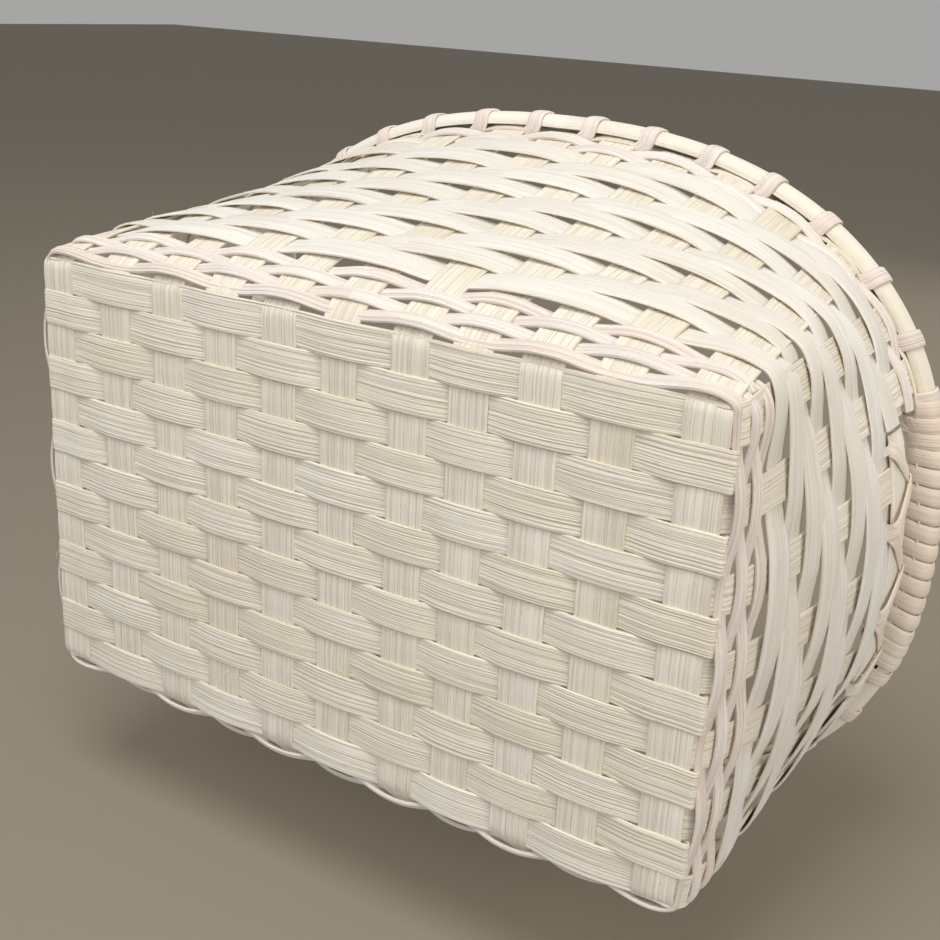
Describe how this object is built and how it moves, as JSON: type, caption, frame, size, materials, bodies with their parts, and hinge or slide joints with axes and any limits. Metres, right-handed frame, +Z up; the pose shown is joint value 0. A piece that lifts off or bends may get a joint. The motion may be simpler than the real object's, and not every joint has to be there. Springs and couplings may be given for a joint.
{
  "type": "woven fruit basket",
  "caption": "Rectangular-based, oval-rimmed basket woven from flat and flat-oval reed, with a lashed double rim and a wrapped grip over a hand hole at each end.",
  "frame": {"origin": "middle of the underside, on the surface the basket stands on", "axes": "+Z up through the open top, +X along the long side towards one grip, +Y towards the back long wall"},
  "size_m": [0.4292, 0.362, 0.1961],
  "materials": {
    "base_reed": "unvarnished flat reed, dry and matt, fine lengthwise grain",
    "wide_reed": "unvarnished pale flat reed with a smooth rounded face",
    "narrow_reed": "unvarnished flat-oval reed, pinkish beige, softly ribbed",
    "lashing_reed": "unvarnished flat-oval lashing reed, pinkish beige",
    "rim_reed": "unvarnished half-round reed, smooth pale cream"
  },
  "bodies": {
    "root": {"cross_stake_01": "base_reed", "cross_stake_02": "base_reed", "cross_stake_03": "base_reed", "cross_stake_04": "base_reed", "cross_stake_05": "base_reed", "cross_stake_06": "base_reed", "cross_stake_07": "base_reed", "cross_stake_08": "base_reed", "cross_stake_09": "base_reed", "cross_stake_10": "base_reed", "cross_stake_11": "base_reed", "long_stake_01": "base_reed", "long_stake_02": "base_reed", "long_stake_03": "base_reed", "long_stake_04": "base_reed", "long_stake_05": "base_reed", "long_stake_06": "base_reed", "long_stake_07": "base_reed", "filler_01": "base_reed", "filler_02": "base_reed", "filler_03": "base_reed", "filler_04": "base_reed", "filler_05": "base_reed", "filler_06": "base_reed", "narrow_weaver_01": "narrow_reed", "narrow_weaver_02": "narrow_reed", "narrow_weaver_03": "narrow_reed", "narrow_weaver_04": "narrow_reed", "wide_weaver_05": "wide_reed", "wide_weaver_06": "wide_reed", "wide_weaver_07": "wide_reed", "wide_weaver_08": "wide_reed", "wide_weaver_09": "wide_reed", "wide_weaver_10": "wide_reed", "wide_weaver_11": "wide_reed", "wide_weaver_12": "wide_reed", "wide_weaver_13_front": "wide_reed", "wide_weaver_13_back": "wide_reed", "wide_weaver_14_front": "wide_reed", "wide_weaver_14_back": "wide_reed", "narrow_weaver_15_front": "narrow_reed", "narrow_weaver_15_back": "narrow_reed", "narrow_weaver_16_front": "narrow_reed", "narrow_weaver_16_back": "narrow_reed", "top_band": "base_reed", "outer_rim": "rim_reed", "inner_rim": "rim_reed", "rim_filler": "base_reed", "rim_lashing": "lashing_reed", "grip_wrap_right": "lashing_reed", "grip_wrap_left": "lashing_reed", "hole_strip_outer_right": "rim_reed", "hole_strip_inner_right": "rim_reed", "hole_strip_outer_left": "rim_reed", "hole_strip_inner_left": "rim_reed", "strip_lashing_right": "lashing_reed", "strip_lashing_left": "lashing_reed"}
  },
  "joints": []
}
